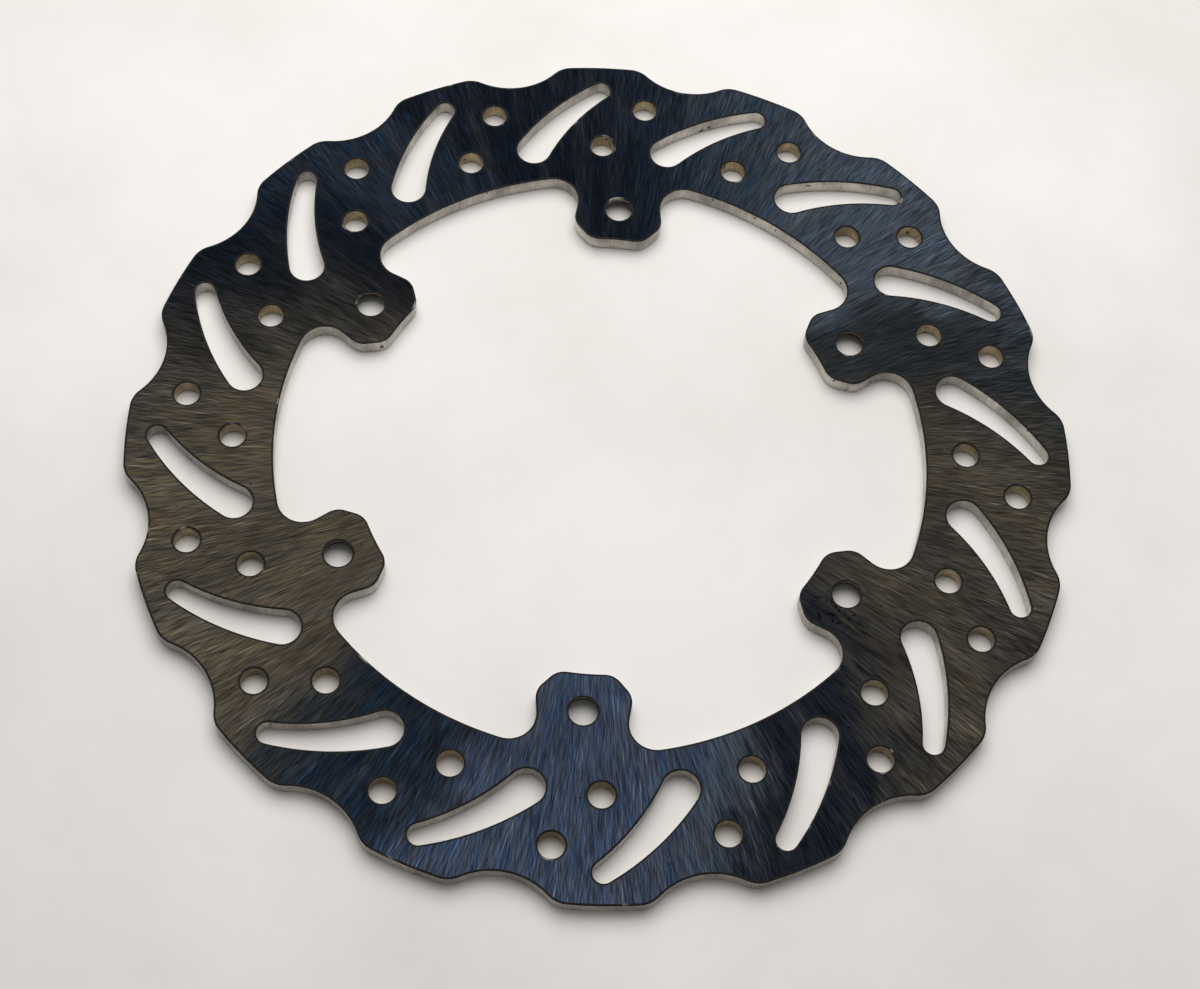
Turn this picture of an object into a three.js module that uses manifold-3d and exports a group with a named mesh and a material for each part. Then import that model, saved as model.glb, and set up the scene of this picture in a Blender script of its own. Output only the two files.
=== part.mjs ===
// Rear brake disc rotor for an off-road motorcycle: one flat steel plate, cut right through.
// Millimetres. The disc turns about Z. The countersunk outer face is at Z = 0, and the face at
// Z = thickness bears on the wheel hub. A lug is on +Y. Angles run anticlockwise seen from +Z.

import * as THREE from 'three';
import { mergeVertices } from 'three/addons/utils/BufferGeometryUtils.js';
import Module from 'manifold-3d';

// Plate
const outerDiameter = 220;
const thickness = 4;
const bandWidth = 34; // from the wave crests to the ring's inner edge

// Wave edge: concentric crests with concave scallops between them
const waveCount = 16;
const waveDepth = 5;
const scallopRadius = 16.4;
const crestRound = 6.3;
const crestLead = 3.75; // degrees from a lug's centre line to the crest beside it

// Drilled holes, two rows with one hole of each for every wave
const drillDiameter = 6;
const outerRowInset = 12.5; // from the crests
const innerRowInset = 9.5; // from the ring's inner edge
const outerRowLag = 6.54; // degrees behind a crest's centre line
const innerRowLag = 0.24;

// Swept slots, one for every wave
const slotTipRadius = 2.43; // round at the narrow outer end
const slotRootRadius = 4.16; // round at the wide inner end, on the inner row
const slotTipInset = 7.3; // from the crests to the centre of the tip's round
const slotSweep = 11.35; // degrees from the crest's centre line to the root
const slotOuterSide = 60.6; // radius of the bulging side
const slotInnerSide = 53.3; // radius of the hollow side

// Mounting lugs
const lugCount = 6;
const boltInset = 9.5; // from the ring's inner edge to the bolt circle
const lugReach = 8.9; // from the bolt circle to the lug's tip
const lugTipWidth = 12.5; // between the chamfers' ends, before they are rounded
const lugShoulderWidth = 21.7; // across the shoulders, before they are rounded
const lugChamferAngle = 47.5; // degrees off the tangent
const lugTaper = 7; // degrees, each side drawing in towards the ring
const tipRound = 4.6;
const shoulderRound = 4.5;
const neckRound = 6;

// Bolt holes, one in each lug, countersunk from the outer face
const boltHoleDiameter = 6.5;
const countersinkDiameter = 12;
const countersinkAngle = 90; // degrees, included

// Facets stay this close to the true arcs
const facetError = 0.05;
// Cutters pass this far beyond the faces that they cut
const overrun = 1;

const outerRadius = outerDiameter / 2;
const troughRadius = outerRadius - waveDepth;
const ringInnerRadius = outerRadius - bandWidth;
const outerRowRadius = outerRadius - outerRowInset;
const innerRowRadius = ringInnerRadius + innerRowInset;
const boltCircleRadius = ringInnerRadius - boltInset;
const lugTipRadius = boltCircleRadius - lugReach;
const wavePitch = 360 / waveCount;
const lugPitch = 360 / lugCount;
const firstLugAngle = 90;
const firstCrestAngle = firstLugAngle + crestLead;

const radians = THREE.MathUtils.degToRad;

function polar(radius, degrees) {
  return new THREE.Vector2(radius * Math.cos(radians(degrees)), radius * Math.sin(radians(degrees)));
}

function rotated(points, degrees) {
  const origin = new THREE.Vector2();
  return points.map((point) => point.clone().rotateAround(origin, radians(degrees)));
}

// How many facets an arc needs, from its radius and its sweep in radians.
function facetCount(radius, sweep) {
  const facetAngle = 2 * Math.acos(1 - facetError / radius);
  return Math.max(1, Math.ceil(Math.abs(sweep) / facetAngle));
}

// Points along an arc that starts at a point and turns by a signed angle in radians.
function arcFrom(centre, from, sweep) {
  const steps = facetCount(from.distanceTo(centre), sweep);
  const points = [];
  for (let i = 0; i <= steps; i += 1) {
    points.push(from.clone().rotateAround(centre, (sweep * i) / steps));
  }
  return points;
}

// The signed angle about a centre from one point to another, the shorter way round.
function turnBetween(centre, from, to) {
  const start = from.clone().sub(centre);
  const end = to.clone().sub(centre);
  return Math.atan2(start.cross(end), start.dot(end));
}

// Points along the shorter arc between two points that lie on a circle.
function arcBetween(centre, from, to) {
  return arcFrom(centre, from, turnBetween(centre, from, to));
}

// Points along the anticlockwise arc between two points that lie on a circle.
function arcRound(centre, from, to) {
  const turn = turnBetween(centre, from, to);
  return arcFrom(centre, from, turn > 0 ? turn : turn + 2 * Math.PI);
}

function circle(centre, radius) {
  const start = centre.clone().add(new THREE.Vector2(radius, 0));
  return arcFrom(centre, start, 2 * Math.PI).slice(1);
}

// The point on a circle where the circle meets the line from its centre through a target.
function towards(centre, target, radius) {
  return target.clone().sub(centre).setLength(radius).add(centre);
}

// Where two circles cross, on the left of the line from the first centre to the second.
function circlesMeet(centreA, radiusA, centreB, radiusB) {
  const between = centreB.clone().sub(centreA);
  const distance = between.length();
  const along = (radiusA ** 2 - radiusB ** 2 + distance ** 2) / (2 * distance);
  const aside = Math.sqrt(radiusA ** 2 - along ** 2);
  const left = new THREE.Vector2(-between.y, between.x).divideScalar(distance);
  return centreA.clone().addScaledVector(between, along / distance).addScaledVector(left, aside);
}

// The point of a line, on the side that it runs to, at a distance from the disc's axis.
function lineAtRadius(start, direction, radius) {
  const along = start.dot(direction);
  const step = Math.sqrt(along ** 2 - start.lengthSq() + radius ** 2) - along;
  return start.clone().addScaledVector(direction, step);
}

// Consecutive arcs share their end points, and a closed outline needs each one once.
function withoutRepeats(points) {
  const smallestStep = 1e-6;
  return points.filter((point, i) => {
    const next = points[(i + 1) % points.length];
    return point.distanceTo(next) > smallestStep;
  });
}

// One wave, from the middle of a crest to the middle of the next one.
function waveEdge() {
  const crest = polar(outerRadius, 0);
  const scallopCentre = polar(troughRadius + scallopRadius, wavePitch / 2);
  const axis = new THREE.Vector2();
  const reach = scallopRadius + crestRound;
  const roundCentre = circlesMeet(scallopCentre, reach, axis, outerRadius - crestRound);
  const crestEnd = towards(axis, roundCentre, outerRadius);
  const scallopStart = towards(scallopCentre, roundCentre, scallopRadius);
  const trough = polar(troughRadius, wavePitch / 2);
  const half = [
    ...arcBetween(axis, crest, crestEnd),
    ...arcBetween(roundCentre, crestEnd, scallopStart),
    ...arcBetween(scallopCentre, scallopStart, trough),
  ];
  const otherHalf = rotated(mirrored(half), wavePitch);
  return [...half, ...otherHalf];
}

// The same points reflected in the X axis, in the order that carries an outline on.
function mirrored(points) {
  return points.map((point) => new THREE.Vector2(point.x, -point.y)).reverse();
}

function discOutline() {
  const wave = waveEdge();
  const points = [];
  for (let i = 0; i < waveCount; i += 1) {
    points.push(...rotated(wave, firstCrestAngle + i * wavePitch));
  }
  return withoutRepeats(points);
}

// Half of the edge round a lug that points along +X: from the middle of its tip, over the
// corner, the chamfer, the shoulder and the neck, to the middle of the ring's next stretch.
function lugHalfEdge() {
  const axis = new THREE.Vector2();
  const tip = polar(lugTipRadius, 0);
  const tipHalf = lugTipWidth / 2;
  const shoulderHalf = lugShoulderWidth / 2;
  const chamferStart = new THREE.Vector2(Math.sqrt(lugTipRadius ** 2 - tipHalf ** 2), tipHalf);
  const chamferRise = (shoulderHalf - tipHalf) * Math.tan(radians(lugChamferAngle));
  const shoulder = new THREE.Vector2(chamferStart.x + chamferRise, shoulderHalf);
  const chamfer = shoulder.clone().sub(chamferStart).normalize();
  const side = polar(1, -lugTaper);
  const chamferInward = new THREE.Vector2(chamfer.y, -chamfer.x);
  const sideInward = new THREE.Vector2(side.y, -side.x);

  // Both rounds are cut from the chamfer, so they shrink together where it is too short.
  const tipTangent = new THREE.Vector2(-chamferStart.y, chamferStart.x);
  const tipCut = tipRound * Math.tan(tipTangent.angleTo(chamfer) / 2);
  const shoulderCut = shoulderRound * Math.tan(chamfer.angleTo(side) / 2);
  const room = Math.min(1, shoulder.distanceTo(chamferStart) / (tipCut + shoulderCut));
  const tipCorner = tipRound * room;
  const shoulderCorner = shoulderRound * room;

  const tipLine = chamferStart.clone().addScaledVector(chamferInward, tipCorner);
  const tipCentre = lineAtRadius(tipLine, chamfer, lugTipRadius + tipCorner);
  const tipEnd = towards(axis, tipCentre, lugTipRadius);
  const chamferLow = tipCentre.clone().addScaledVector(chamferInward, -tipCorner);

  const chamferHigh = shoulder.clone().addScaledVector(chamfer, -shoulderCut * room);
  const sideStart = shoulder.clone().addScaledVector(side, shoulderCut * room);
  const shoulderCentre = sideStart.clone().addScaledVector(sideInward, shoulderCorner);

  const neckLine = shoulder.clone().addScaledVector(sideInward, -neckRound);
  const neckCentre = lineAtRadius(neckLine, side, ringInnerRadius - neckRound);
  const sideEnd = neckCentre.clone().addScaledVector(sideInward, neckRound);
  const neckEnd = towards(axis, neckCentre, ringInnerRadius);
  const ringMiddle = polar(ringInnerRadius, lugPitch / 2);

  return [
    ...arcBetween(axis, tip, tipEnd),
    ...arcBetween(tipCentre, tipEnd, chamferLow),
    ...arcBetween(shoulderCentre, chamferHigh, sideStart),
    ...arcBetween(neckCentre, sideEnd, neckEnd),
    ...arcBetween(axis, neckEnd, ringMiddle),
  ];
}

function centreOpening() {
  const half = lugHalfEdge();
  const lug = [...mirrored(half), ...half];
  const points = [];
  for (let i = 0; i < lugCount; i += 1) {
    points.push(...rotated(lug, firstLugAngle + i * lugPitch));
  }
  return withoutRepeats(points);
}

// A slot is a round root and a round tip, joined by two arcs that touch both.
function slotOutline(crestAngle) {
  const root = polar(innerRowRadius, crestAngle + slotSweep);
  const tip = polar(outerRadius - slotTipInset, crestAngle);
  const outerSideCentre = circlesMeet(
    tip,
    slotOuterSide - slotTipRadius,
    root,
    slotOuterSide - slotRootRadius,
  );
  const innerSideCentre = circlesMeet(
    tip,
    slotInnerSide + slotTipRadius,
    root,
    slotInnerSide + slotRootRadius,
  );
  const tipOuter = towards(outerSideCentre, tip, slotOuterSide);
  const rootOuter = towards(outerSideCentre, root, slotOuterSide);
  const tipInner = towards(innerSideCentre, tip, slotInnerSide);
  const rootInner = towards(innerSideCentre, root, slotInnerSide);
  return withoutRepeats([
    ...arcBetween(outerSideCentre, tipOuter, rootOuter),
    ...arcRound(root, rootOuter, rootInner),
    ...arcBetween(innerSideCentre, rootInner, tipInner),
    ...arcRound(tip, tipInner, tipOuter),
  ]);
}

function plateShape() {
  const shape = new THREE.Shape(discOutline());
  shape.holes.push(new THREE.Path(centreOpening()));
  for (let i = 0; i < waveCount; i += 1) {
    const crestAngle = firstCrestAngle + i * wavePitch;
    const outerHole = polar(outerRowRadius, crestAngle - outerRowLag);
    const innerHole = polar(innerRowRadius, crestAngle - innerRowLag);
    shape.holes.push(new THREE.Path(circle(outerHole, drillDiameter / 2)));
    shape.holes.push(new THREE.Path(circle(innerHole, drillDiameter / 2)));
    shape.holes.push(new THREE.Path(slotOutline(crestAngle)));
  }
  return shape;
}

// What the drill and the countersink take out of a lug, about the Z axis.
function boltHoleCutter() {
  const holeRadius = boltHoleDiameter / 2;
  const slope = Math.tan(radians(countersinkAngle / 2));
  const sinkDepth = (countersinkDiameter / 2 - holeRadius) / slope;
  const mouthRadius = countersinkDiameter / 2 + overrun * slope;
  const profile = [
    new THREE.Vector2(0, -overrun),
    new THREE.Vector2(mouthRadius, -overrun),
    new THREE.Vector2(holeRadius, sinkDepth),
    new THREE.Vector2(holeRadius, thickness + overrun),
    new THREE.Vector2(0, thickness + overrun),
  ];
  const segments = facetCount(countersinkDiameter / 2, 2 * Math.PI);
  return new THREE.LatheGeometry(profile, segments).rotateX(Math.PI / 2);
}

const wasm = await Module();
wasm.setup();

function solid(geometry) {
  const bare = geometry.clone();
  bare.deleteAttribute('normal');
  bare.deleteAttribute('uv');
  const merged = mergeVertices(bare);
  const vertProperties = new Float32Array(merged.attributes.position.array);
  const triVerts = new Uint32Array(merged.index.array);
  return new wasm.Manifold(new wasm.Mesh({ numProp: 3, vertProperties, triVerts }));
}

function geometryOf(manifold) {
  const mesh = manifold.getMesh();
  const geometry = new THREE.BufferGeometry();
  geometry.setAttribute('position', new THREE.BufferAttribute(mesh.vertProperties, 3));
  geometry.setIndex(new THREE.BufferAttribute(mesh.triVerts, 1));
  geometry.computeVertexNormals();
  return geometry;
}

function brakeDisc() {
  const plate = new THREE.ExtrudeGeometry(plateShape(), { depth: thickness, bevelEnabled: false });
  let disc = solid(plate);
  for (let i = 0; i < lugCount; i += 1) {
    const centre = polar(boltCircleRadius, firstLugAngle + i * lugPitch);
    const cutter = boltHoleCutter().translate(centre.x, centre.y, 0);
    disc = disc.subtract(solid(cutter));
  }
  const steel = new THREE.MeshStandardMaterial({ color: 0x2a3040, roughness: 0.45, metalness: 0.9 });
  const mesh = new THREE.Mesh(geometryOf(disc), steel);
  mesh.name = 'brake_disc';
  return mesh;
}

const rotor = new THREE.Group();
rotor.add(brakeDisc());

export default rotor;
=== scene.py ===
"""The looks of a one-piece motorcycle rear brake disc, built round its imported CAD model.

Metres, in the CAD frame: the disc turns about Z, the countersunk outer face is at Z = 0, and a
lug is on +Y. The disc is drawn again with fine arcs and a broken edge, at the CAD's own sizes.
"""

import cmath
import math

import bpy
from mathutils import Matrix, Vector
from mathutils.geometry import delaunay_2d_cdt


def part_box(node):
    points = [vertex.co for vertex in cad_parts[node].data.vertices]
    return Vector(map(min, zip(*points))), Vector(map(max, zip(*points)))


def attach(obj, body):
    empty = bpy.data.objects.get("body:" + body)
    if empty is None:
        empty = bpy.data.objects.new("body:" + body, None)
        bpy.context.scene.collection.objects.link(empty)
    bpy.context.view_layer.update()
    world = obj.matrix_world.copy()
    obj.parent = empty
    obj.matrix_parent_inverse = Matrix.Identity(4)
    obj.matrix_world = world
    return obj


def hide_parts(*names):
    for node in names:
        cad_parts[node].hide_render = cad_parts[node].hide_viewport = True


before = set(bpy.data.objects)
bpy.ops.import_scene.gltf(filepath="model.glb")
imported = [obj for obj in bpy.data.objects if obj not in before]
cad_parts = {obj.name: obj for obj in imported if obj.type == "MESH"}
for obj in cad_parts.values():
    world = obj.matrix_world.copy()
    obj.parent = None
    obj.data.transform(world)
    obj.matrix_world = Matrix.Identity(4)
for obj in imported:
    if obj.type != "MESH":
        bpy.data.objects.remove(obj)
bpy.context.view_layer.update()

# ---------------------------------------------------------------- sizes, as in the CAD model
NODE = "brake_disc"
MM = 0.001
LOW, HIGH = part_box(NODE)
THICKNESS = HIGH.z - LOW.z
OUTER_RADIUS = 110 * MM
BAND_WIDTH = 34 * MM

WAVE_COUNT = 16
WAVE_DEPTH = 5 * MM
SCALLOP_RADIUS = 16.4 * MM
CREST_ROUND = 6.3 * MM
CREST_LEAD = 3.75  # degrees from a lug's centre line to the crest beside it

DRILL_RADIUS = 3 * MM
OUTER_ROW_INSET = 12.5 * MM
INNER_ROW_INSET = 9.5 * MM
OUTER_ROW_LAG = 6.54  # degrees behind a crest
INNER_ROW_LAG = 0.24  # degrees

SLOT_TIP_RADIUS = 2.43 * MM
SLOT_ROOT_RADIUS = 4.16 * MM
SLOT_TIP_INSET = 7.3 * MM
SLOT_SWEEP = 11.35  # degrees
SLOT_OUTER_SIDE = 60.6 * MM
SLOT_INNER_SIDE = 53.3 * MM

LUG_COUNT = 6
BOLT_INSET = 9.5 * MM
LUG_REACH = 8.9 * MM
LUG_TIP_WIDTH = 12.5 * MM
LUG_SHOULDER_WIDTH = 21.7 * MM
LUG_CHAMFER_ANGLE = 47.5  # degrees
LUG_TAPER = 7  # degrees that each side of a lug closes in towards the ring
TIP_ROUND = 4.6 * MM
SHOULDER_ROUND = 4.5 * MM
NECK_ROUND = 6 * MM

BOLT_HOLE_RADIUS = 3.25 * MM
COUNTERSINK_RADIUS = 6 * MM
SINK_WIDTH = COUNTERSINK_RADIUS - BOLT_HOLE_RADIUS
SINK_DEPTH = SINK_WIDTH  # a 90 degree countersink

EDGE_BREAK = 0.18 * MM  # the small round where a cut meets a ground face
RIM_WIDTH = 0.28 * MM  # the dark line on the face beside that round
SHADED_FOOT_BAND = 0.75 * MM  # painted shade: a black band at the foot of a bolt hole's land, above its countersink
EDGE_STEPS = 3
FACET_ERROR = 0.005 * MM  # how far a facet may lie from the true arc

RING_INNER_RADIUS = OUTER_RADIUS - BAND_WIDTH
OUTER_ROW_RADIUS = OUTER_RADIUS - OUTER_ROW_INSET
INNER_ROW_RADIUS = RING_INNER_RADIUS + INNER_ROW_INSET
BOLT_CIRCLE_RADIUS = RING_INNER_RADIUS - BOLT_INSET
LUG_TIP_RADIUS = BOLT_CIRCLE_RADIUS - LUG_REACH
WAVE_PITCH = 360 / WAVE_COUNT
LUG_PITCH = 360 / LUG_COUNT
FIRST_LUG = 90  # degrees from +X
FIRST_CREST = FIRST_LUG + CREST_LEAD

# ---------------------------------------------------------------- outlines
# A point of an outline is a complex number, x + yj, and outlines run anticlockwise.


def polar(radius, degrees):
    return cmath.rect(radius, math.radians(degrees))


def dot(a, b):
    return (a * b.conjugate()).real


def unit(a):
    return a / abs(a)


def arc_from(centre, start, sweep):
    """Points from start round centre, by a signed sweep in radians."""
    step = 2 * math.acos(1 - FACET_ERROR / abs(start - centre))
    count = max(1, math.ceil(abs(sweep) / step))
    return [centre + (start - centre) * cmath.rect(1, sweep * i / count) for i in range(count + 1)]


def turn(centre, start, end):
    """The signed angle from start to end round centre, the shorter way."""
    return cmath.phase((end - centre) / (start - centre))


def arc_between(centre, start, end):
    return arc_from(centre, start, turn(centre, start, end))


def arc_round(centre, start, end):
    """The anticlockwise arc from start to end."""
    return arc_from(centre, start, turn(centre, start, end) % (2 * math.pi))


def towards(centre, target, radius):
    return centre + unit(target - centre) * radius


def circles_meet(centre_a, radius_a, centre_b, radius_b):
    """Where two circles cross, on the left of the line from the first centre to the second."""
    between = centre_b - centre_a
    distance = abs(between)
    along = (radius_a**2 - radius_b**2 + distance**2) / (2 * distance)
    aside = math.sqrt(radius_a**2 - along**2)
    return centre_a + unit(between) * complex(along, aside)


def line_at_radius(start, direction, radius):
    """Where a line that runs outwards reaches a distance from the axis."""
    along = dot(start, direction)
    return start + direction * (math.sqrt(along**2 - abs(start) ** 2 + radius**2) - along)


def closed(points):
    """The outline without the points that neighbouring arcs share."""
    smallest_step = 1e-8
    following = points[1:] + points[:1]
    return [p for p, q in zip(points, following) if abs(p - q) > smallest_step]


def turned(points, degrees):
    return [p * polar(1, degrees) for p in points]


def mirrored(points):
    return [p.conjugate() for p in reversed(points)]


def repeated(points, count, first):
    """Copies of a stretch of outline, end to end round the axis."""
    return closed([p for i in range(count) for p in turned(points, first + i * 360 / count)])


def disc_outline():
    """Crests on the outer circle, with scallops between them."""
    scallop = polar(OUTER_RADIUS - WAVE_DEPTH + SCALLOP_RADIUS, WAVE_PITCH / 2)
    corner = circles_meet(scallop, SCALLOP_RADIUS + CREST_ROUND, 0j, OUTER_RADIUS - CREST_ROUND)
    crest_end = towards(0j, corner, OUTER_RADIUS)
    scallop_start = towards(scallop, corner, SCALLOP_RADIUS)
    half = (
        arc_between(0j, complex(OUTER_RADIUS), crest_end)
        + arc_between(corner, crest_end, scallop_start)
        + arc_between(scallop, scallop_start, polar(OUTER_RADIUS - WAVE_DEPTH, WAVE_PITCH / 2))
    )
    wave = half + turned(mirrored(half), WAVE_PITCH)
    return repeated(wave, WAVE_COUNT, FIRST_CREST)


def lug_half():
    """The edge of a lug on +X, from the middle of its tip to the middle of the ring's stretch."""
    tip_half, shoulder_half = LUG_TIP_WIDTH / 2, LUG_SHOULDER_WIDTH / 2
    chamfer_start = complex(math.sqrt(LUG_TIP_RADIUS**2 - tip_half**2), tip_half)
    rise = (shoulder_half - tip_half) * math.tan(math.radians(LUG_CHAMFER_ANGLE))
    shoulder = complex(chamfer_start.real + rise, shoulder_half)
    chamfer = unit(shoulder - chamfer_start)
    side = polar(1, -LUG_TAPER)
    inward, side_inward = chamfer * -1j, side * -1j
    tip_corner = line_at_radius(
        chamfer_start + inward * TIP_ROUND, chamfer, LUG_TIP_RADIUS + TIP_ROUND
    )
    tip_end = towards(0j, tip_corner, LUG_TIP_RADIUS)
    cut = SHOULDER_ROUND * math.tan(abs(cmath.phase(chamfer / side)) / 2)
    side_start = shoulder + side * cut
    shoulder_centre = side_start + side_inward * SHOULDER_ROUND
    neck = line_at_radius(
        shoulder - side_inward * NECK_ROUND, side, RING_INNER_RADIUS - NECK_ROUND
    )
    neck_end = towards(0j, neck, RING_INNER_RADIUS)
    return (
        arc_between(0j, complex(LUG_TIP_RADIUS), tip_end)
        + arc_between(tip_corner, tip_end, tip_corner - inward * TIP_ROUND)
        + arc_between(shoulder_centre, shoulder - chamfer * cut, side_start)
        + arc_between(neck, neck + side_inward * NECK_ROUND, neck_end)
        + arc_between(0j, neck_end, polar(RING_INNER_RADIUS, LUG_PITCH / 2))
    )


def centre_outline():
    half = lug_half()
    return repeated(mirrored(half) + half, LUG_COUNT, FIRST_LUG)


def slot_outline(crest):
    """A round root and a round tip, joined by two arcs that touch both."""
    root = polar(INNER_ROW_RADIUS, crest + SLOT_SWEEP)
    tip = polar(OUTER_RADIUS - SLOT_TIP_INSET, crest)
    outer = circles_meet(
        tip, SLOT_OUTER_SIDE - SLOT_TIP_RADIUS, root, SLOT_OUTER_SIDE - SLOT_ROOT_RADIUS
    )
    inner = circles_meet(
        tip, SLOT_INNER_SIDE + SLOT_TIP_RADIUS, root, SLOT_INNER_SIDE + SLOT_ROOT_RADIUS
    )
    tip_outer, root_outer = (towards(outer, end, SLOT_OUTER_SIDE) for end in (tip, root))
    tip_inner, root_inner = (towards(inner, end, SLOT_INNER_SIDE) for end in (tip, root))
    return closed(
        arc_between(outer, tip_outer, root_outer)
        + arc_round(root, root_outer, root_inner)
        + arc_between(inner, root_inner, tip_inner)
        + arc_round(tip, tip_inner, tip_outer)
    )


def circle(centre, radius):
    return closed(arc_from(centre, centre + radius, 2 * math.pi))


# ---------------------------------------------------------------- the disc's mesh
# The mesh's material slots. The second is any black strip: a rim blackened by the cutting, or the
# band of painted shade at the foot of a bolt hole's land.
FACE, DARK_EDGE_AND_SHADE, CUT, DRILLED, SINK = range(5)

# A cut is swept as rings that follow its outline. A row says how far its ring lies back into
# the steel, how high it is, and which slot the strip below it takes.


def top_edge():
    """A dark flat rim, then the rounded edge down to the wall."""
    rows = [(EDGE_BREAK + RIM_WIDTH, THICKNESS, DARK_EDGE_AND_SHADE)]
    for i in range(EDGE_STEPS):
        angle = math.pi / 2 * i / EDGE_STEPS
        inset = EDGE_BREAK * (1 - math.sin(angle))
        drop = EDGE_BREAK * (1 - math.cos(angle))
        rows.append((inset, THICKNESS - drop, DARK_EDGE_AND_SHADE))
    return rows


def straight_rows(wall):
    """A cut straight through the plate, with both edges broken."""
    top = top_edge()
    bottom = [(inset, THICKNESS - height, DARK_EDGE_AND_SHADE) for inset, height, _ in reversed(top)]
    return top + [(0, THICKNESS - EDGE_BREAK, wall), (0, EDGE_BREAK, DARK_EDGE_AND_SHADE)] + bottom


def bolt_rows():
    """A short straight land, and below it the countersink."""
    return top_edge() + [
        (0, THICKNESS - EDGE_BREAK, DRILLED),
        # Below the land, a black strip of painted shade, then the countersink.
        (0, SINK_DEPTH + SHADED_FOOT_BAND, DARK_EDGE_AND_SHADE),
        (0, SINK_DEPTH, SINK),
        (SINK_WIDTH - EDGE_BREAK, EDGE_BREAK, DARK_EDGE_AND_SHADE),
        (SINK_WIDTH + EDGE_BREAK / 2, 0, DARK_EDGE_AND_SHADE),
        (SINK_WIDTH + EDGE_BREAK / 2 + RIM_WIDTH, 0, DARK_EDGE_AND_SHADE),
    ]


def cuts():
    """(outline, side the steel is on, rows) for every cut. The disc's own edge comes first."""
    yield disc_outline(), -1, straight_rows(CUT)
    yield centre_outline(), 1, straight_rows(CUT)
    for i in range(WAVE_COUNT):
        crest = FIRST_CREST + i * WAVE_PITCH
        yield slot_outline(crest), 1, straight_rows(CUT)
        outer_hole = polar(OUTER_ROW_RADIUS, crest - OUTER_ROW_LAG)
        yield circle(outer_hole, DRILL_RADIUS), 1, straight_rows(DRILLED)
        inner_hole = polar(INNER_ROW_RADIUS, crest - INNER_ROW_LAG)
        yield circle(inner_hole, DRILL_RADIUS), 1, straight_rows(DRILLED)
    for i in range(LUG_COUNT):
        bolt = polar(BOLT_CIRCLE_RADIUS, FIRST_LUG + i * LUG_PITCH)
        yield circle(bolt, BOLT_HOLE_RADIUS), 1, bolt_rows()


def cap(points, loops):
    """Triangles that fill the first loop, apart from the holes that the other loops bound."""
    indices = [i for loop in loops for i in loop]
    places = {index: place for place, index in enumerate(indices)}
    flat = [Vector(points[i][:2]) for i in indices]
    rims = [[places[i] for i in loop] for loop in loops]
    closeness = 1e-9
    _, _, triangles, sources, _, inside = delaunay_2d_cdt(flat, [], rims, 1, closeness)
    return [
        tuple(indices[sources[corner][0]] for corner in triangle)
        for triangle, within in zip(triangles, inside)
        if len(within) == 1
    ]


def sweep(points, faces, slots, path, side, rows):
    """Adds the strips of one cut to the mesh, and returns its top and bottom loops."""
    count = len(path)
    first = len(points)
    ahead = path[1:] + path[:1]
    behind = path[-1:] + path[:-1]
    into_steel = [unit(a - b) * -1j * side for a, b in zip(ahead, behind)]
    for inset, height, _ in rows:
        ring = [p + n * inset for p, n in zip(path, into_steel)]
        points += [(p.real, p.imag, height) for p in ring]
    for row, (_, _, slot) in enumerate(rows[:-1]):
        start = first + row * count
        for i in range(count):
            a, b = start + i, start + (i + 1) % count
            faces.append((a, b, b + count, a + count)[::side])
            slots.append(slot)
    last = first + (len(rows) - 1) * count
    return range(first, first + count), range(last, last + count)


def disc_mesh():
    """The whole disc as one closed mesh: strips down each cut, and a cap on each face."""
    points, faces, slots = [], [], []
    swept = [sweep(points, faces, slots, *cut) for cut in cuts()]
    top_loops, bottom_loops = zip(*swept)
    for loops, facing in ((top_loops, 1), (bottom_loops, -1)):
        for triangle in cap(points, loops):
            faces.append(triangle[::facing])
            slots.append(FACE)
    return points, faces, slots


def crease_between_slots(mesh):
    """Marks sharp each edge between faces of different slots, so a wall shades as upright."""
    beside = {}
    for polygon in mesh.polygons:
        for key in polygon.edge_keys:
            beside.setdefault(key, set()).add(polygon.material_index)
    for edge in mesh.edges:
        edge.use_edge_sharp = len(beside[edge.key]) > 1


def build_disc(materials):
    points, faces, slots = disc_mesh()
    mesh = bpy.data.meshes.new("ground_disc")
    mesh.from_pydata(points, [], faces)
    for material in materials:
        mesh.materials.append(material)
    mesh.polygons.foreach_set("material_index", slots)
    mesh.polygons.foreach_set("use_smooth", [slot != FACE for slot in slots])
    crease_between_slots(mesh)
    mesh.update()
    disc = bpy.data.objects.new("ground_disc", mesh)
    bpy.context.scene.collection.objects.link(disc)
    return disc


# ---------------------------------------------------------------- material helpers


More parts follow.
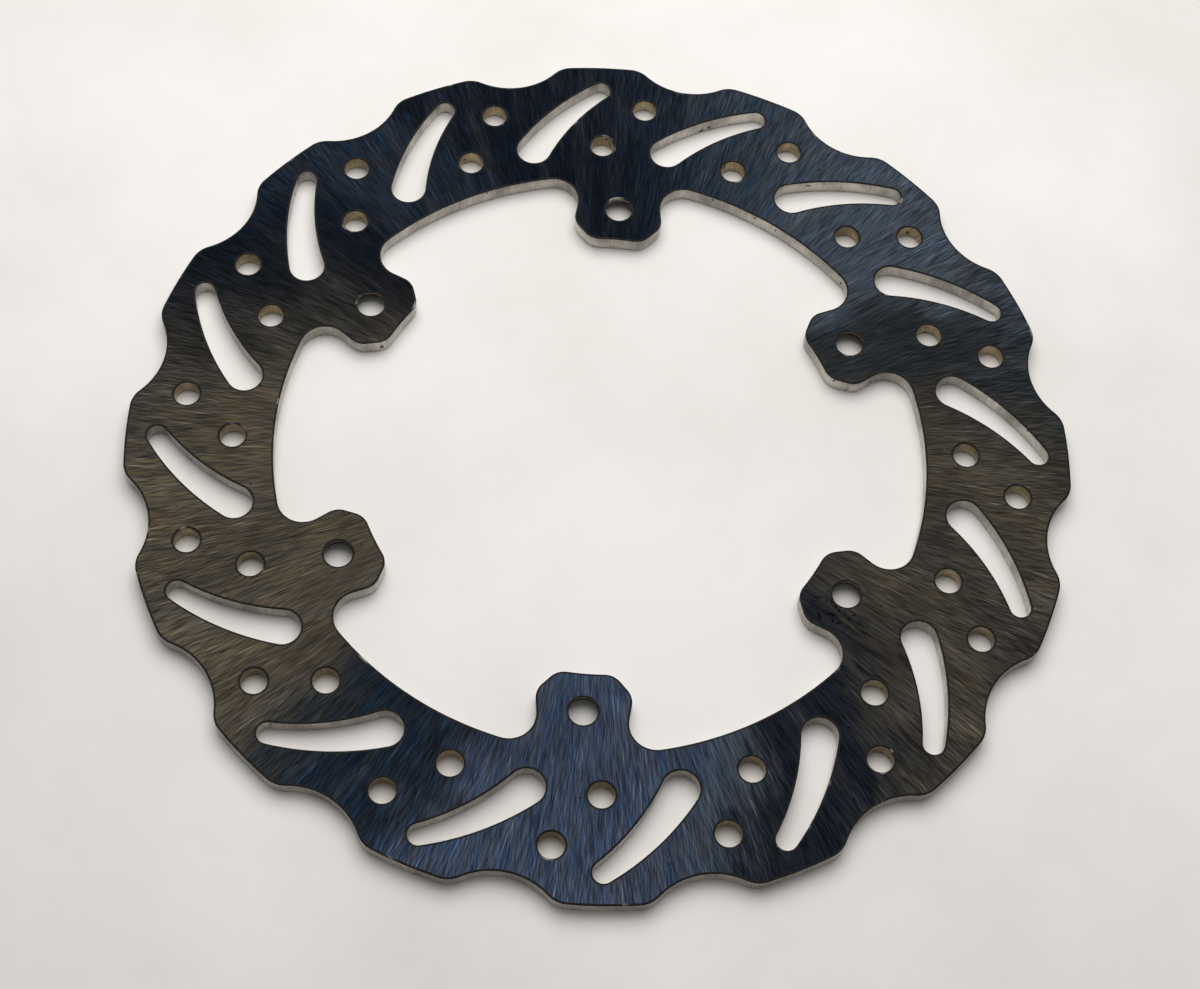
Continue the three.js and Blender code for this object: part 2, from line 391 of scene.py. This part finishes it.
class Nodes:
    """Short calls that build a material's nodes."""

    def __init__(self, name):
        self.material = bpy.data.materials.new(name)
        self.material.use_nodes = True
        self.tree = self.material.node_tree
        self.shader = self.tree.nodes["Principled BSDF"]
        self.place = self.add("ShaderNodeTexCoord").outputs["Object"]

    def add(self, kind, **settings):
        node = self.tree.nodes.new(kind)
        for name, value in settings.items():
            setattr(node, name, value)
        return node

    def put(self, value, socket):
        if isinstance(value, bpy.types.NodeSocket):
            self.tree.links.new(value, socket)
        else:
            socket.default_value = value

    def math(self, operation, a, b=0.0, c=0.0):
        node = self.add("ShaderNodeMath", operation=operation)
        for value, socket in zip((a, b, c), node.inputs):
            self.put(value, socket)
        return node.outputs[0]

    def axes(self):
        """The X, Y and Z of a place on the disc."""
        split = self.add("ShaderNodeSeparateXYZ")
        self.put(self.place, split.inputs[0])
        return split.outputs

    def vector(self, x, y, z):
        node = self.add("ShaderNodeCombineXYZ")
        for value, socket in zip((x, y, z), node.inputs):
            self.put(value, socket)
        return node.outputs[0]

    def noise(self, where, scale=1.0, detail=2.0, roughness=0.5):
        node = self.add("ShaderNodeTexNoise")
        self.put(where, node.inputs["Vector"])
        node.inputs["Scale"].default_value = scale
        node.inputs["Detail"].default_value = detail
        node.inputs["Roughness"].default_value = roughness
        return node.outputs["Fac"]

    def ramp(self, factor, stops):
        """Colours at places from 0 to 1 along factor."""
        node = self.add("ShaderNodeValToRGB")
        elements = node.color_ramp.elements
        while len(elements) < len(stops):
            elements.new(0.5)
        for element, (place, colour) in zip(elements, stops):
            element.position = place
            element.color = (*colour, 1)
        self.put(factor, node.inputs["Fac"])
        return node.outputs["Color"]

    def between(self, factor, span, becomes=(0.0, 1.0)):
        """factor, carried over from one span of values to another and held at its ends."""
        node = self.add("ShaderNodeMapRange", clamp=True)
        for value, socket in zip((factor, *span, *becomes), node.inputs):
            self.put(value, socket)
        return node.outputs[0]

    def mix(self, factor, a, b):
        node = self.add("ShaderNodeMix", data_type="RGBA")
        self.put(factor, node.inputs["Factor"])
        self.put(a if isinstance(a, bpy.types.NodeSocket) else (*a, 1), node.inputs["A"])
        self.put(b if isinstance(b, bpy.types.NodeSocket) else (*b, 1), node.inputs["B"])
        return node.outputs["Result"]

    def bump(self, height, strength, distance):
        node = self.add("ShaderNodeBump")
        node.inputs["Strength"].default_value = strength
        node.inputs["Distance"].default_value = distance
        self.put(height, node.inputs["Height"])
        self.put(node.outputs["Normal"], self.shader.inputs["Normal"])


def srgb(red, green, blue):
    """A screen colour from 0 to 255 as the linear colour that shaders use."""
    return tuple(
        v / 12.92 if v <= 0.04045 else ((v + 0.055) / 1.055) ** 2.4
        for v in (red / 255, green / 255, blue / 255)
    )


# ---------------------------------------------------------------- the ground faces
INK = srgb(14, 19, 27)
MIDNIGHT = srgb(24, 31, 40)
DARK_SLATE = srgb(38, 46, 55)
SLATE = srgb(53, 61, 70)
STEEL_BLUE = srgb(58, 65, 74)
BLUE = srgb(49, 58, 73)
SOOT = srgb(24, 25, 27)
SOOT_BLUE = srgb(22, 25, 32)
GRAPHITE = srgb(35, 38, 41)
UMBER = srgb(49, 47, 43)
BRONZE = srgb(63, 58, 50)
LIGHT_BRONZE = srgb(71, 65, 54)
STEEL_GREY = srgb(92, 90, 91)

# The dark steel's tone round the disc, with a painted reflection in it: degrees from +X, and the
# tone there.
# A colour ramp holds at most 32 of them. Bronze stands in for warm light mirrored in the face, blue
# for cool light, near black for a dim room.
PAINTED_REFLECTION_TINTS = [
    (0, BRONZE),
    (10, UMBER),
    (17, GRAPHITE),
    (27, GRAPHITE),
    (35, STEEL_BLUE),
    (58, SLATE),
    (71, DARK_SLATE),
    (81, MIDNIGHT),
    (95, INK),
    (115, INK),
    (124, MIDNIGHT),
    (132, MIDNIGHT),
    (145, INK),
    (157, SOOT),
    (170, UMBER),
    (178, BRONZE),
    (192, LIGHT_BRONZE),
    (203, BRONZE),
    (214, LIGHT_BRONZE),
    (224, BRONZE),
    (230, GRAPHITE),
    (236, MIDNIGHT),
    (246, MIDNIGHT),
    (256, BLUE),
    (284, BLUE),
    (290, SLATE),
    (298, SOOT_BLUE),
    (311, SOOT_BLUE),
    (320, UMBER),
    (332, BRONZE),
    (342, UMBER),
    (352, BRONZE),
]
TINT_RADIUS = 90 * MM  # where those angles hold
TINT_LEAN = -1.25  # how far they lean off that radius, in turns per metre, at TINT_LEAN_SIDE
TINT_LEAN_SIDE = 150  # degrees from +X; on the other side they lean the other way
PATCH_WANDER = 0.06  # turns by which the mottling moves the tint
LINE_WANDER = 0.03  # turns by which the middle lines do

LINE_RADIUS = 92 * MM  # where the grinding lines have the width that is asked for
PITTED_PLACE = (54 * MM, -38.5 * MM, THICKNESS)
PITTED_RADII = (3.5 * MM, 10 * MM)  # fully pitted within the first, not at all past the second


def rays(n):
    """The disc's own polar frame: a point's distance from the axis, and its angle."""
    x, y, _ = n.axes()
    radius = n.math("SQRT", n.math("ADD", n.math("MULTIPLY", x, x), n.math("MULTIPLY", y, y)))
    return radius, n.math("ARCTAN2", y, x)


def grinding(n, radius, angle, width, length, lean, detail=2.0):
    """Noise drawn out along lines that run outwards, leaning by about lean degrees."""
    slant = math.tan(math.radians(lean)) / LINE_RADIUS
    along = n.math("MULTIPLY_ADD", radius, slant, angle)
    reach = LINE_RADIUS / width
    where = n.vector(
        n.math("MULTIPLY", n.math("COSINE", along), reach),
        n.math("MULTIPLY", n.math("SINE", along), reach),
        n.math("MULTIPLY", radius, 1 / length),
    )
    return n.noise(where, detail=detail, roughness=0.6)


def fine_lines(n, radius, angle):
    """Two families of fine grinding lines that cross, together from 0 to 1."""
    left = grinding(n, radius, angle, width=0.3 * MM, length=5.5 * MM, lean=6, detail=1)
    right = grinding(n, radius, angle, width=0.28 * MM, length=5 * MM, lean=-8, detail=1)
    left = n.between(left, (0.38, 0.62), (0.0, 0.5))
    right = n.between(right, (0.38, 0.62), (0.0, 0.5))
    return n.math("ADD", left, right)


def reflection_tint_place(n, radius, angle, wander):
    """Where on the tones of the painted reflection a point lies, as a share of a turn."""
    side = n.math("COSINE", n.math("SUBTRACT", angle, math.radians(TINT_LEAN_SIDE)))
    off_radius = n.math("SUBTRACT", radius, TINT_RADIUS)
    lean = n.math("MULTIPLY", n.math("MULTIPLY", off_radius, side), TINT_LEAN)
    turn_share = n.math("MULTIPLY_ADD", angle, 1 / (2 * math.pi), 1.0)
    leaning = n.math("ADD", turn_share, lean)
    return n.math("FRACT", n.math("ADD", leaning, wander))


def steel_tint_and_painted_reflection(n, radius, angle, patches, middle_lines, bands):
    """The dark steel's colour with the painted reflection round the disc, greyer in some bands and
    more vivid along some lines.
    """
    wobble = n.math("MULTIPLY_ADD", patches, PATCH_WANDER, -PATCH_WANDER / 2)
    spread = n.math("MULTIPLY_ADD", middle_lines, LINE_WANDER, -LINE_WANDER / 2)
    place = reflection_tint_place(n, radius, angle, n.math("ADD", wobble, spread))
    # Painted reflection: the tones by angle stand in for warm, cool and dim light mirrored in the
    # ground face.
    tint_and_reflection = n.ramp(place, [(degrees / 360, tone) for degrees, tone in PAINTED_REFLECTION_TINTS])
    tint_and_reflection = n.mix(n.between(bands, (0.52, 0.72), (0.0, 0.07)), tint_and_reflection, STEEL_GREY)
    vivid = n.add("ShaderNodeHueSaturation")
    n.put(tint_and_reflection, vivid.inputs["Color"])
    n.put(n.between(middle_lines, (0.34, 0.66), (0.72, 1.3)), vivid.inputs["Saturation"])
    return vivid.outputs[0]


def pitting(n):
    """How much denser the dark specks are round the pitted place on one lug."""
    apart = n.add("ShaderNodeVectorMath", operation="DISTANCE")
    n.put(n.place, apart.inputs[0])
    apart.inputs[1].default_value = PITTED_PLACE
    return n.between(apart.outputs["Value"], PITTED_RADII, (0.2, 0.0))


def marks(n, radius, angle):
    """How much the bright scratches, the dark nicks and the specks scale the base colour."""
    glints = grinding(n, radius, angle, width=0.3 * MM, length=10 * MM, lean=3, detail=0)
    nicks = grinding(n, radius, angle, width=0.34 * MM, length=6 * MM, lean=-4, detail=0)
    specks = n.math("ADD", n.noise(n.place, scale=1000, detail=0), pitting(n))
    bright = n.between(glints, (0.71, 0.77), (1.0, 2.0))
    nicked = n.between(nicks, (0.66, 0.72), (1.0, 0.6))
    specked = n.between(specks, (0.83, 0.87), (1.0, 0.3))
    return n.math("MULTIPLY", bright, n.math("MULTIPLY", nicked, specked))


def steel_shade(n, radius, fine, broad):
    """How much the lines, the mottling and a painted sheen that grows with the distance from the
    axis scale the base colour.
    """
    lined = n.between(fine, (0.1, 0.9), (0.38, 0.74))
    mottled = n.between(broad, (0.36, 0.64), (0.74, 1.26))
    # Painted sheen: the face grows lighter towards its outer edge.
    outward_sheen = n.between(radius, (RING_INNER_RADIUS, OUTER_RADIUS - 2 * MM), (0.9, 1.12))
    return n.math("MULTIPLY", n.math("MULTIPLY", lined, mottled), outward_sheen)


def ground_steel():
    """Both ground faces: grinding lines that run outwards from the axis, on dark steel tinted round
    the disc by a painted reflection.
    """
    n = Nodes("ground_steel")
    radius, angle = rays(n)
    fine = fine_lines(n, radius, angle)
    middle_lines = grinding(n, radius, angle, width=1.0 * MM, length=9 * MM, lean=0, detail=1)
    bands = grinding(n, radius, angle, width=6 * MM, length=60 * MM, lean=3)
    patches = n.noise(n.place, scale=60, detail=5)
    broad = n.math("ADD", n.math("MULTIPLY", middle_lines, 0.4), n.math("MULTIPLY", bands, 0.25))
    broad = n.math("ADD", broad, n.math("MULTIPLY", patches, 0.35))

    tint_and_reflection = steel_tint_and_painted_reflection(n, radius, angle, patches, middle_lines, bands)
    shade = n.math("MULTIPLY", steel_shade(n, radius, fine, broad), marks(n, radius, angle))
    shaded = n.add("ShaderNodeVectorMath", operation="SCALE")
    n.put(tint_and_reflection, shaded.inputs[0])
    n.put(shade, shaded.inputs["Scale"])
    n.put(shaded.outputs[0], n.shader.inputs["Base Color"])

    n.put(n.between(fine, (0.2, 0.8), (0.48, 0.36)), n.shader.inputs["Roughness"])
    n.shader.inputs["Metallic"].default_value = 1.0
    n.shader.inputs["Anisotropic"].default_value = 0.6
    tangent = n.add("ShaderNodeTangent", direction_type="RADIAL", axis="Z")
    n.put(tangent.outputs[0], n.shader.inputs["Tangent"])
    n.bump(fine, 0.15, 0.01 * MM)
    return n.material


# ---------------------------------------------------------------- the edges and the walls
BLACK = srgb(5, 5, 5)
WORN_BLACK = srgb(20, 19, 17)
# Partly worn steel, partly a painted highlight on the rims.
BARE_STEEL_AND_HIGHLIGHT = srgb(150, 146, 138)
SMUT = srgb(22, 20, 18)

# A wall's colours along its upright lines, from the darkest to the palest.
STEEL_WALL = (srgb(132, 128, 121), srgb(174, 169, 161), srgb(214, 209, 201))
STRAW_WALL = (srgb(108, 96, 74), srgb(152, 137, 108), srgb(194, 178, 148))
# The countersink's near-black tones are painted shade: they deepen the shadow on the floor under
# it.
SHADED_SINK_WALL = (srgb(22, 21, 19), srgb(38, 36, 33), srgb(60, 57, 52))

LINES_ACROSS = 1900  # cells of noise in a metre, for lines about half a millimetre wide
LINES_UPWARDS = 130


def dark_edge_and_shade():
    """Black from the cutting on every rim, with bare steel in spots that are partly wear and partly
    painted highlight; the same black on the foot of each bolt hole's land is painted shade.
    """
    n = Nodes("dark_edge_and_shade")
    mottle = n.noise(n.place, scale=900, detail=2)
    wear_and_highlight = n.noise(n.place, scale=140, detail=3)
    black = n.ramp(mottle, [(0.3, BLACK), (0.75, WORN_BLACK)])
    # Bare steel in spots: partly wear, partly painted highlight where a rim catches the light.
    colour = n.mix(n.between(wear_and_highlight, (0.66, 0.72), (0.0, 0.7)), black, BARE_STEEL_AND_HIGHLIGHT)
    n.put(colour, n.shader.inputs["Base Color"])
    n.put(n.between(mottle, (0.3, 0.7), (0.75, 0.6)), n.shader.inputs["Roughness"])
    n.shader.inputs["Specular IOR Level"].default_value = 0.2
    return n.material


def upright_lines(n):
    """Noise drawn out up and down a wall."""
    x, y, height = n.axes()
    where = n.vector(
        n.math("MULTIPLY", x, LINES_ACROSS),
        n.math("MULTIPLY", y, LINES_ACROSS),
        n.math("MULTIPLY", height, LINES_UPWARDS),
    )
    return n.noise(where, detail=3)


def cut_wall(name, tones, sooty):
    """A cut wall, paler towards the foot as a painted reflection of the pale floor, with upright
    lines, and soot where noise passes sooty.
    """
    n = Nodes(name)
    _, _, height = n.axes()
    striae = upright_lines(n)
    soft = n.noise(n.place, scale=160, detail=4)
    tone = n.math("ADD", n.math("MULTIPLY", striae, 0.25), n.math("MULTIPLY", soft, 0.75))
    # Painted reflection: lighter towards the foot, where the wall mirrors the floor beside it.
    tone = n.math("ADD", tone, n.between(height, (0.0, THICKNESS), (0.16, -0.09)))
    colour = n.ramp(tone, list(zip((0.32, 0.5, 0.68), tones)))
    soot_places = n.noise(n.place, scale=330, detail=2)
    soot = n.between(soot_places, (sooty, sooty + 0.05), (0.0, 0.9))
    n.put(n.mix(soot, colour, SMUT), n.shader.inputs["Base Color"])
    n.put(n.between(striae, (0.3, 0.7), (0.34, 0.22)), n.shader.inputs["Roughness"])
    n.shader.inputs["Metallic"].default_value = 1.0
    n.bump(striae, 0.15, 0.02 * MM)
    return n.material


# ---------------------------------------------------------------- the stage
FLOOR_HALF = 6.0  # metres from its middle to a side
FLOOR_GAP = 0.05 * MM  # below the disc
FLOOR_DARK = srgb(221, 217, 212)
FLOOR_PALE = srgb(235, 232, 228)

LAMP_PLACE = (-0.01, 0.22, 0.46)
LAMP_WIDTH = 0.6
LAMP_POWER = 2.74  # watts
LAMP_COLOUR = (1.0, 0.997, 0.988)

STUDIO_DIM = (0.20, 0.197, 0.193, 1)
STUDIO_BRIGHT = (0.43, 0.43, 0.435, 1)
STUDIO_SPAN = (-0.8, 0.6)  # the direction's Y where the studio is dimmest, and brightest

CAMERA_PLACE = (-9.4 * MM, -242.7 * MM, 446.65 * MM)
CAMERA_TURNS = (27.286, -3.118, 3.598)  # degrees about X, Y and Z, from straight down
LENS = 65.04  # millimetres, as the sensor's width is
SENSOR_WIDTH = 36


def pale_floor():
    n = Nodes("pale_floor")
    smudges = n.noise(n.place, scale=9, detail=5, roughness=0.6)
    colour = n.ramp(smudges, [(0.3, FLOOR_DARK), (0.6, FLOOR_PALE)])
    n.put(colour, n.shader.inputs["Base Color"])
    n.shader.inputs["Roughness"].default_value = 0.7
    return n.material


def build_floor():
    mesh = bpy.data.meshes.new("floor")
    corners = [(-1, -1), (1, -1), (1, 1), (-1, 1)]
    height = LOW.z - FLOOR_GAP
    points = [(x * FLOOR_HALF, y * FLOOR_HALF, height) for x, y in corners]
    mesh.from_pydata(points, [], [(0, 1, 2, 3)])
    mesh.materials.append(pale_floor())
    floor = bpy.data.objects.new("floor", mesh)
    bpy.context.scene.collection.objects.link(floor)


def build_lamp():
    """One soft round lamp behind the disc, aimed at the middle of it."""
    light = bpy.data.lights.new("key", "AREA")
    light.shape = "DISK"
    light.size = LAMP_WIDTH
    light.energy = LAMP_POWER
    light.color = LAMP_COLOUR
    lamp = bpy.data.objects.new("key", light)
    lamp.location = LAMP_PLACE
    lamp.rotation_euler = (-Vector(LAMP_PLACE)).to_track_quat("-Z", "Y").to_euler()
    bpy.context.scene.collection.objects.link(lamp)


def build_world():
    """A pale studio, bright behind the disc and dim on the photographer's side."""
    world = bpy.data.worlds.new("studio")
    world.use_nodes = True
    nodes, links = world.node_tree.nodes, world.node_tree.links
    direction = nodes.new("ShaderNodeTexCoord")
    split = nodes.new("ShaderNodeSeparateXYZ")
    links.new(direction.outputs["Generated"], split.inputs[0])
    spread = nodes.new("ShaderNodeMapRange")
    spread.inputs["From Min"].default_value, spread.inputs["From Max"].default_value = STUDIO_SPAN
    links.new(split.outputs["Y"], spread.inputs["Value"])
    ramp = nodes.new("ShaderNodeValToRGB")
    for element, colour in zip(ramp.color_ramp.elements, (STUDIO_DIM, STUDIO_BRIGHT)):
        element.color = colour
    links.new(spread.outputs["Result"], ramp.inputs["Fac"])
    links.new(ramp.outputs["Color"], nodes["Background"].inputs["Color"])
    bpy.context.scene.world = world


def build_camera():
    """The photographer's place: above the near side, tilted down and rolled a little."""
    camera = bpy.data.cameras.new("camera")
    camera.lens = LENS
    camera.sensor_width = SENSOR_WIDTH
    viewer = bpy.data.objects.new("camera", camera)
    viewer.location = CAMERA_PLACE
    viewer.rotation_euler = [math.radians(degrees) for degrees in CAMERA_TURNS]
    bpy.context.scene.collection.objects.link(viewer)
    bpy.context.scene.camera = viewer


bpy.context.scene.view_settings.view_transform = "Standard"
build_camera()
build_world()
build_floor()
build_lamp()

disc = build_disc(
    [
        ground_steel(),
        dark_edge_and_shade(),
        cut_wall("cut_wall", STEEL_WALL, sooty=0.68),
        cut_wall("drilled_wall", STRAW_WALL, sooty=0.66),
        cut_wall("countersink", SHADED_SINK_WALL, sooty=0.8),
    ]
)
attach(disc, "root")
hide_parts(NODE)
